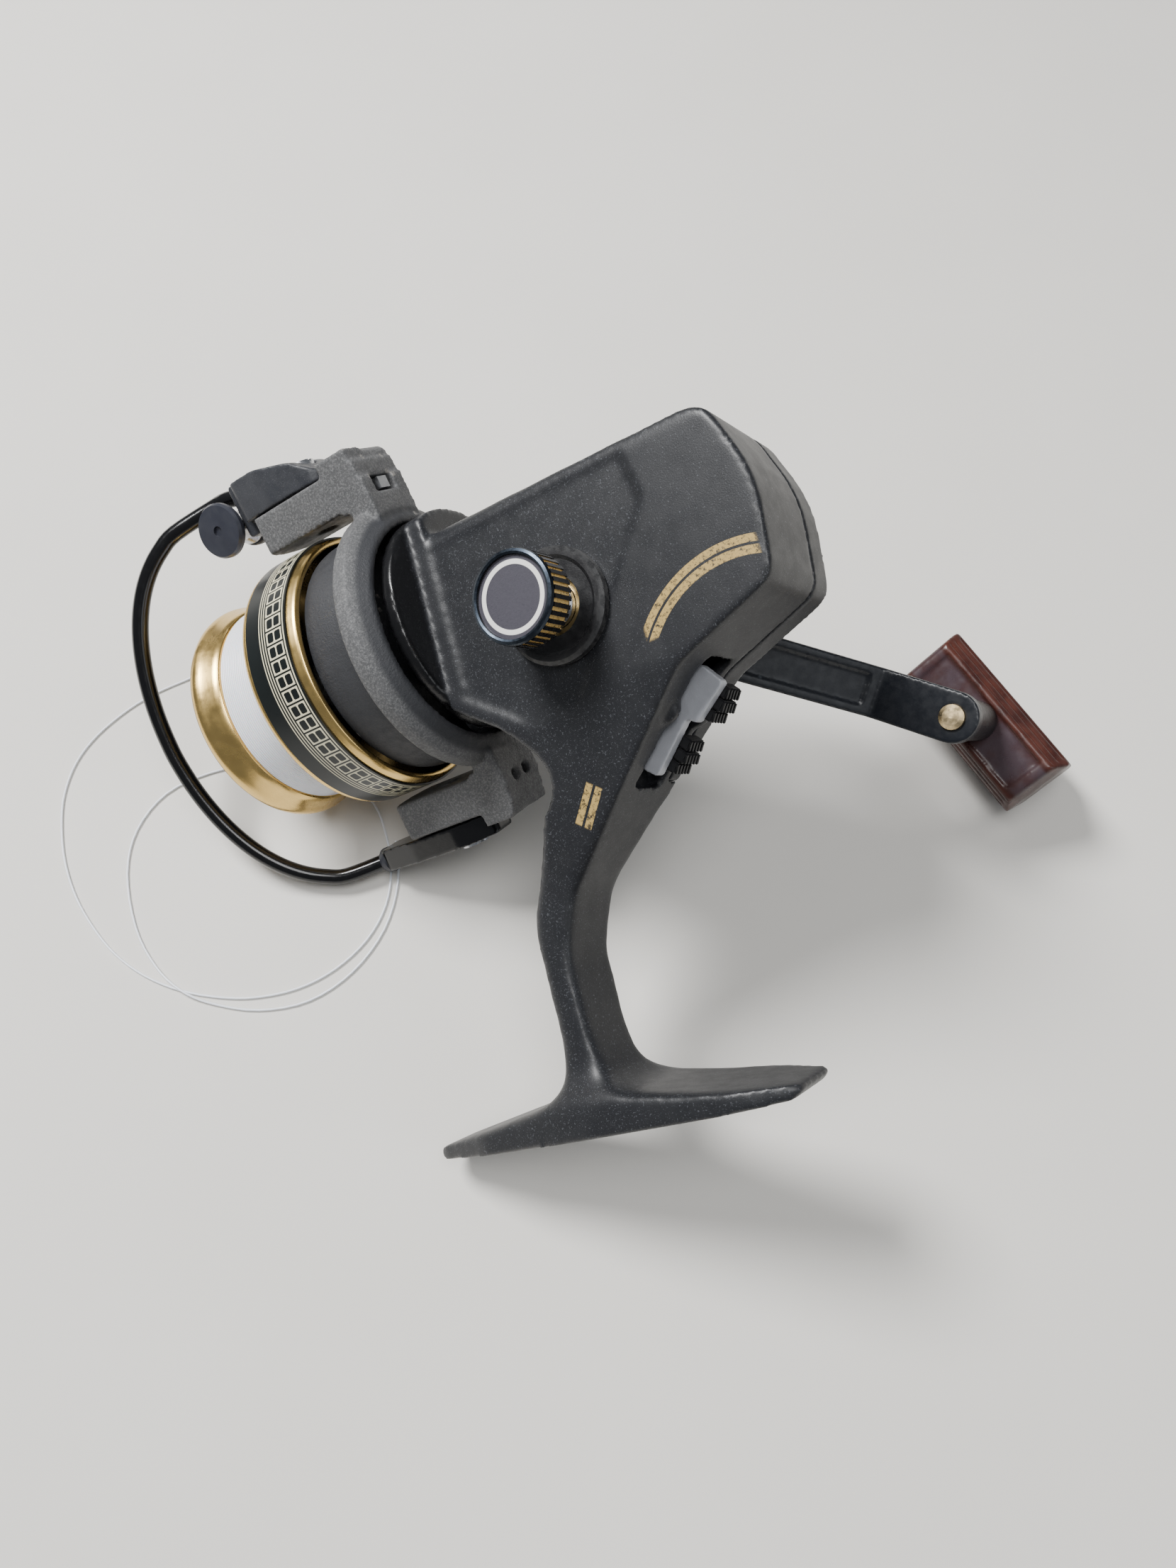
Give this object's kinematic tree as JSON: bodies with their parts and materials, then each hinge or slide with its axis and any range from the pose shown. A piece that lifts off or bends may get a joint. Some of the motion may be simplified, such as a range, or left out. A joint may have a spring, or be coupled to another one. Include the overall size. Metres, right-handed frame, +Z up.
{
  "type": "spinning reel",
  "caption": "Small spinning reel: stemmed housing with foot, geared crank handle, rotor with folding bail, anodised spool with line.",
  "frame": {"origin": "middle of the bounding box at the ground that the reel lies on, measured without the loose line", "axes": "+Z up as the reel lies on its handle side; the main shaft points toward -X and down, the foot toward -Y"},
  "size_m": [0.1715, 0.1023, 0.0743],
  "materials": {
    "body_plastic": "matt blue-black, scuffed",
    "collar_plastic": "grainy black",
    "bronze": "oiled bronze",
    "steel": "machined steel",
    "zinc": "cast zinc alloy",
    "white_nylon": "natural nylon",
    "cap_black": "gloss black, ribs picked out in gold",
    "cap_rim": "satin blue-grey band",
    "cap_disc": "dark brushed disc with a pale ring",
    "arm_paint": "satin blue-black paint",
    "rivet_brass": "pale satin brass",
    "knob_plastic": "dark red-brown with a sheen",
    "lever_grey": "light grey, scuffed",
    "pad_rubber": "black ribbed pads",
    "rotor_grey": "coarse grey composite, worn at the edges",
    "bail_lever_paint": "dark grey composite",
    "bail_black": "gloss black",
    "screw_dark": "dark slate disc",
    "spool_gold": "gold anodised",
    "band_print": "black band with pale chain pattern",
    "line_nylon": "white nylon line",
    "felt": "oiled felt",
    "drag_plastic": "satin black"
  },
  "bodies": {
    "frame": {"housing": "body_plastic", "side_cover": "body_plastic", "cover_screws": "steel", "bearing_collar": "collar_plastic", "near_bush": "bronze", "far_bush": "bronze", "main_bearing": "steel", "bearing_plate": "zinc", "plate_screws": "steel", "gear_post": "steel", "lever_pin": "steel", "pawl_spring": "steel", "loose_line": "line_nylon"},
    "drive": {"drive_gear": "zinc", "drive_axle": "steel", "axle_screw": "steel", "handle_cap": "cap_black", "cap_rim": "cap_rim", "cap_disc": "cap_disc", "handle_arm": "arm_paint", "knob_rivet": "rivet_brass", "knob_collar": "drag_plastic"},
    "knob": {"handle_knob": "knob_plastic"},
    "oscillator": {"oscillation_gear": "white_nylon"},
    "shaft": {"main_shaft": "steel", "slider": "zinc", "slider_screw": "steel", "spool_washer": "white_nylon"},
    "spool": {"spool": "spool_gold", "skirt_band": "band_print", "wound_line": "line_nylon", "click_wheel": "zinc", "drag_washers": "felt", "drag_clip": "steel"},
    "drag": {"drag_knob": "drag_plastic"},
    "rotor": {"rotor": "rotor_grey", "pinion": "bronze", "ratchet": "zinc", "rotor_nut": "steel", "pivot_screws": "steel", "bail_spring": "steel", "trip_pin": "steel"},
    "bail": {"bail_arm": "bail_lever_paint", "bail_wire": "bail_black", "bail_end": "bail_black", "roller_screw": "screw_dark"},
    "roller": {"line_roller": "steel"},
    "trip": {"trip_lever": "zinc"},
    "lever": {"reverse_lever": "lever_grey", "thumb_pads": "pad_rubber"},
    "pawl": {"pawl_shaft": "steel", "pawl": "zinc"}
  },
  "joints": [
    {"name": "handle_spin", "type": "hinge", "parent": "frame", "child": "drive", "pos_m": [-0.00295, 0.01544, 0.04735], "axis": [0.5385, 0.3272, -0.7765], "continuous": true, "deforming": ["loose_line"]},
    {"name": "knob_spin", "type": "hinge", "parent": "drive", "child": "knob", "pos_m": [0.02817, -0.00759, 0.05923], "axis": [0.5385, 0.3272, -0.7765], "continuous": true},
    {"name": "oscillation_spin", "type": "hinge", "parent": "frame", "child": "oscillator", "pos_m": [0.00714, 0.0126, 0.05315], "axis": [0.5385, 0.3272, -0.7765], "continuous": true},
    {"name": "shaft_slide", "type": "slide", "parent": "frame", "child": "shaft", "axis": [-0.8217, 0, -0.5699], "range_m": [-0.0075, 0]},
    {"name": "spool_drag", "type": "hinge", "parent": "shaft", "child": "spool", "pos_m": [-0.00435, 0.02253, 0.04937], "axis": [-0.8217, 0, -0.5699], "continuous": true},
    {"name": "drag_turn", "type": "hinge", "parent": "shaft", "child": "drag", "pos_m": [-0.00435, 0.02253, 0.04937], "axis": [-0.8217, 0, -0.5699], "range_deg": [-180, 180]},
    {"name": "rotor_spin", "type": "hinge", "parent": "frame", "child": "rotor", "pos_m": [-0.00435, 0.02253, 0.04937], "axis": [-0.8217, 0, -0.5699], "continuous": true},
    {"name": "bail_open", "type": "hinge", "parent": "rotor", "child": "bail", "pos_m": [-0.03434, 0.02253, 0.02857], "axis": [0.3516, -0.7869, -0.507], "range_deg": [0, 95]},
    {"name": "roller_spin", "type": "hinge", "parent": "bail", "child": "roller", "pos_m": [-0.05698, 0.04488, 0.03419], "axis": [-0.4484, -0.617, 0.6467], "continuous": true},
    {"name": "trip_turn", "type": "hinge", "parent": "rotor", "child": "trip", "pos_m": [-0.029, 0.02253, 0.03227], "axis": [-0.3516, 0.7869, 0.507], "range_deg": [-1, 6]},
    {"name": "reverse_switch", "type": "hinge", "parent": "frame", "child": "lever", "pos_m": [0.00668, -0.00006, 0.0475], "axis": [0.5385, 0.3272, -0.7765], "range_deg": [0, 8]},
    {"name": "pawl_turn", "type": "hinge", "parent": "frame", "child": "pawl", "pos_m": [-0.00174, 0.0093, 0.0456], "axis": [-0.8217, 0, -0.5699], "range_deg": [0, 12]}
  ],
  "couplings": [
    {"joint": "oscillation_spin", "follows": "handle_spin", "ratio": -0.54545},
    {"joint": "rotor_spin", "follows": "handle_spin", "ratio": -5.125},
    {"joint": "trip_turn", "follows": "bail_open", "ratio": 0.06},
    {"joint": "pawl_turn", "follows": "reverse_switch", "ratio": 1.5}
  ]
}
